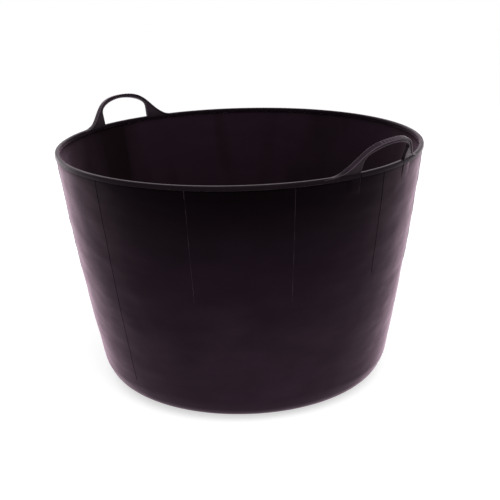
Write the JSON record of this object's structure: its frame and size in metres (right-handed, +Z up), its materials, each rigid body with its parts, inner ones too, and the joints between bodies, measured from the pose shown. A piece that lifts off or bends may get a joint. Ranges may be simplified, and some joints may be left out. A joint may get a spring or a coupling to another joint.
{
  "type": "flexible tub",
  "caption": "Round tapered flexible tub with a rolled rim bead, rounded base corner, foot ring and arched strap handles that bend at their roots.",
  "frame": {"origin": "centre of the foot ring's underside, where the tub stands on the floor", "axes": "+Z up, out of the open top; +X towards the right handle, with the other handle on -X; +Y towards the rear"},
  "size_m": [0.603, 0.5798, 0.4261],
  "materials": {
    "base": "satin black polyethylene, scuffed underneath",
    "wall": "satin black polyethylene with a faint waviness",
    "rim": "satin black polyethylene, slightly polished by use",
    "handle": "satin black polyethylene, slightly greyer where it is gripped"
  },
  "bodies": {
    "tub": {"base_floor": "base", "foot_ring": "base", "base_corner": "base", "wall_panel_01": "wall", "wall_panel_02": "wall", "wall_panel_03": "wall", "wall_panel_04": "wall", "wall_panel_05": "wall", "wall_panel_06": "wall", "wall_panel_07": "wall", "wall_panel_08": "wall", "wall_panel_09": "wall", "wall_panel_10": "wall", "wall_panel_11": "wall", "wall_panel_12": "wall", "rim_bead_front": "rim", "rim_bead_rear": "rim", "rim_lip_right": "rim", "rim_lip_left": "rim", "right_handle_foot_front": "handle", "right_handle_foot_rear": "handle", "left_handle_foot_front": "handle", "left_handle_foot_rear": "handle"},
    "right_handle": {"right_handle_strap": "handle", "right_handle_grip": "handle"},
    "left_handle": {"left_handle_strap": "handle", "left_handle_grip": "handle"}
  },
  "joints": [
    {"name": "right_handle_bend", "type": "hinge", "parent": "tub", "child": "right_handle", "pos_m": [0.2828, 0, 0.3925], "axis": [0, -1, 0], "range_deg": [-25, 45], "stiffness_Nm_per_rad": 1.5},
    {"name": "left_handle_bend", "type": "hinge", "parent": "tub", "child": "left_handle", "pos_m": [-0.2828, 0, 0.3925], "axis": [0, 1, 0], "range_deg": [-25, 45], "stiffness_Nm_per_rad": 1.5}
  ]
}
